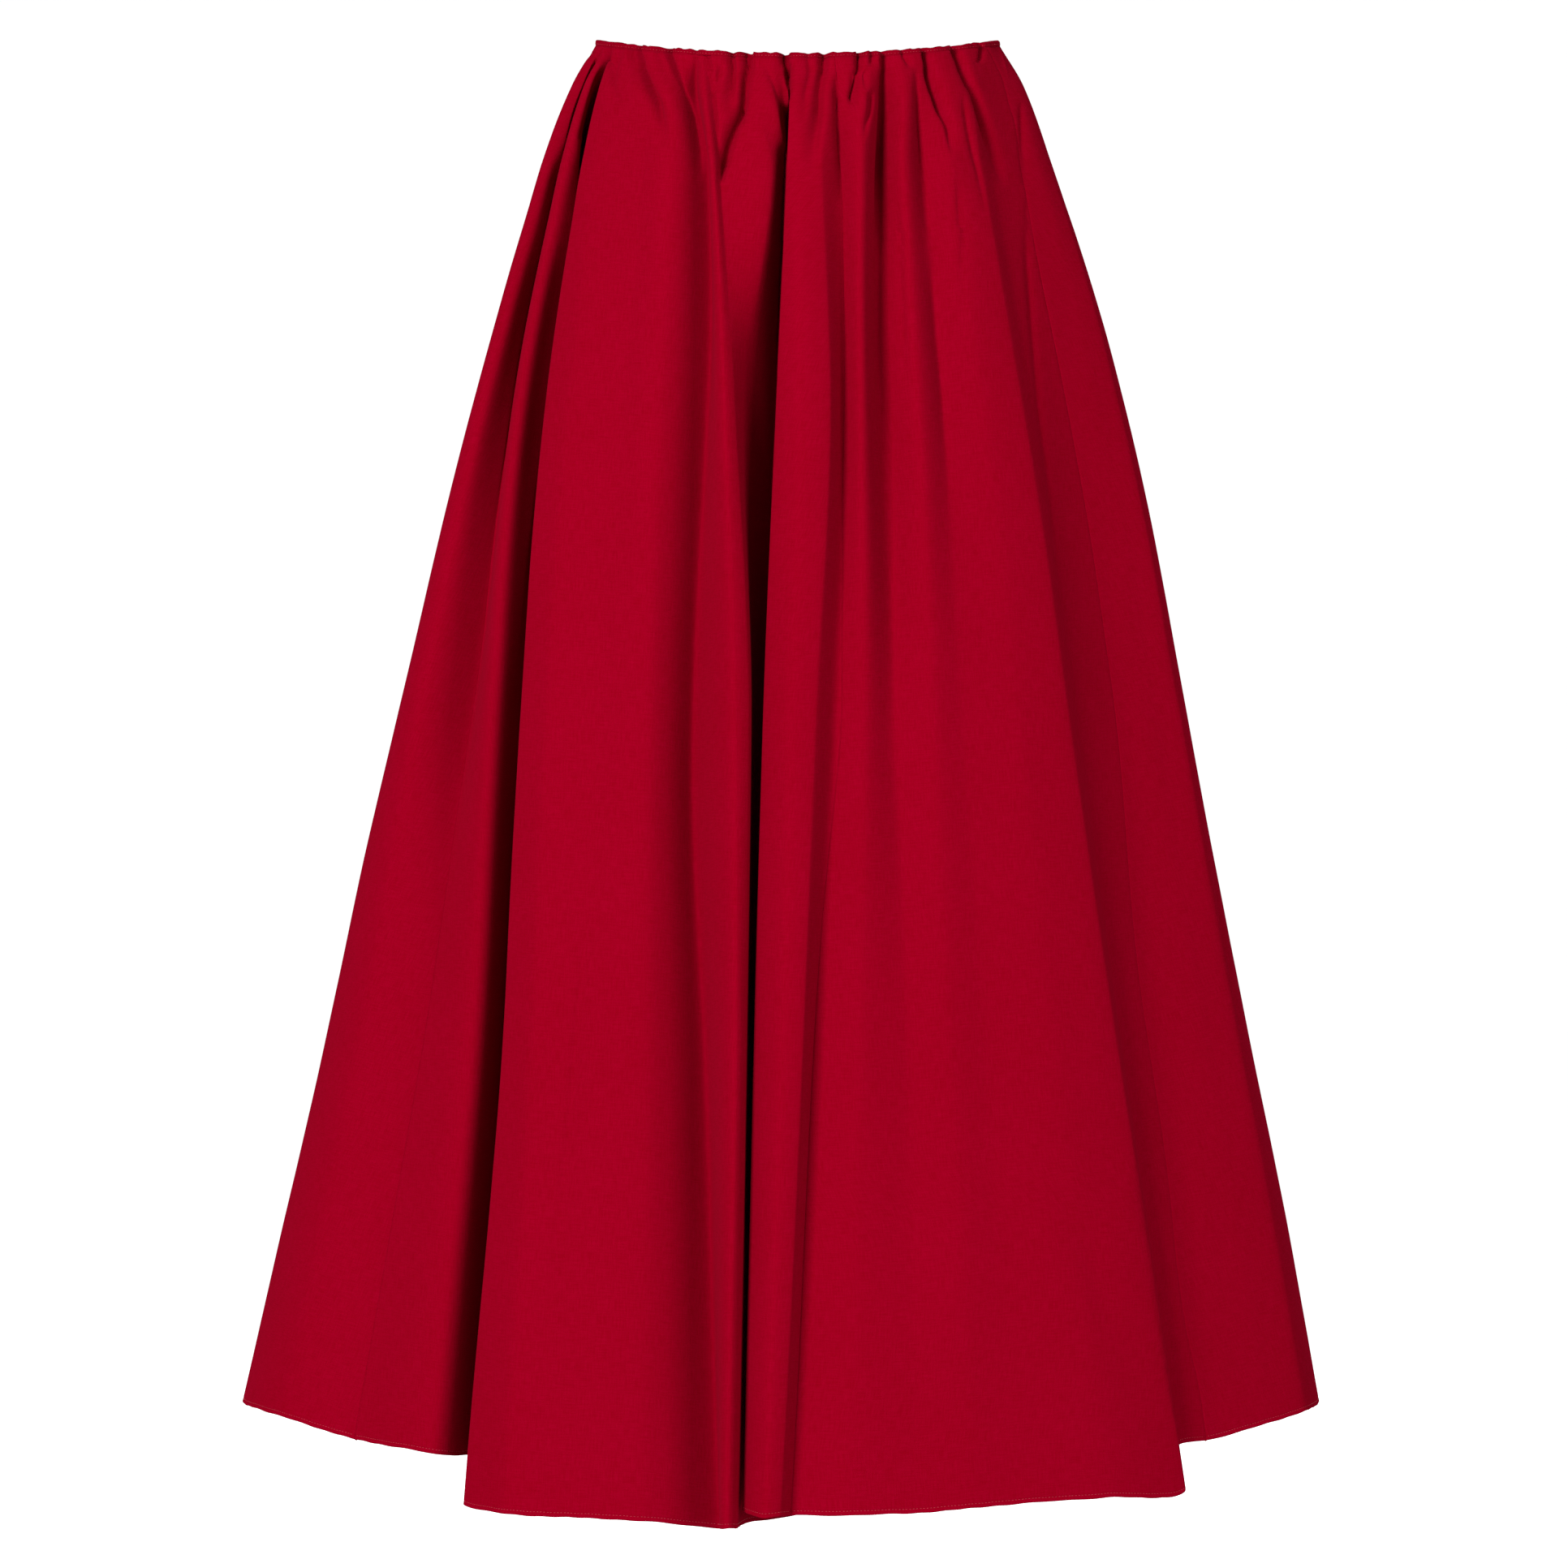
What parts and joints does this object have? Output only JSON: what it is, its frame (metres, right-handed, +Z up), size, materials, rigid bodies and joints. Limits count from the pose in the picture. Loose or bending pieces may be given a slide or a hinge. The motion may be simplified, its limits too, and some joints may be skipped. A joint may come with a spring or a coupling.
{
  "type": "a-line skirt",
  "caption": "Midi a-line skirt of red woven cloth, gathered into a narrow waist casing and filled out as if worn, with deep soft folds down to the hem.",
  "frame": {"origin": "middle of the waist opening, at the height of the casing's front, where the wearer's waist holds the skirt", "axes": "+Z up along the skirt, out of the waist opening; -Y is the front of the skirt; +X is on the right of someone who looks at the front"},
  "size_m": [0.6631, 0.4832, 0.8949],
  "materials": {
    "cloth": "matt woven cotton faille with a slight sheen",
    "casing": "matt, the same cloth, ruched"
  },
  "bodies": {
    "root": {"front_left_panel": "cloth", "front_right_panel": "cloth", "back_right_panel": "cloth", "back_left_panel": "cloth", "waist_casing": "casing"}
  },
  "joints": []
}
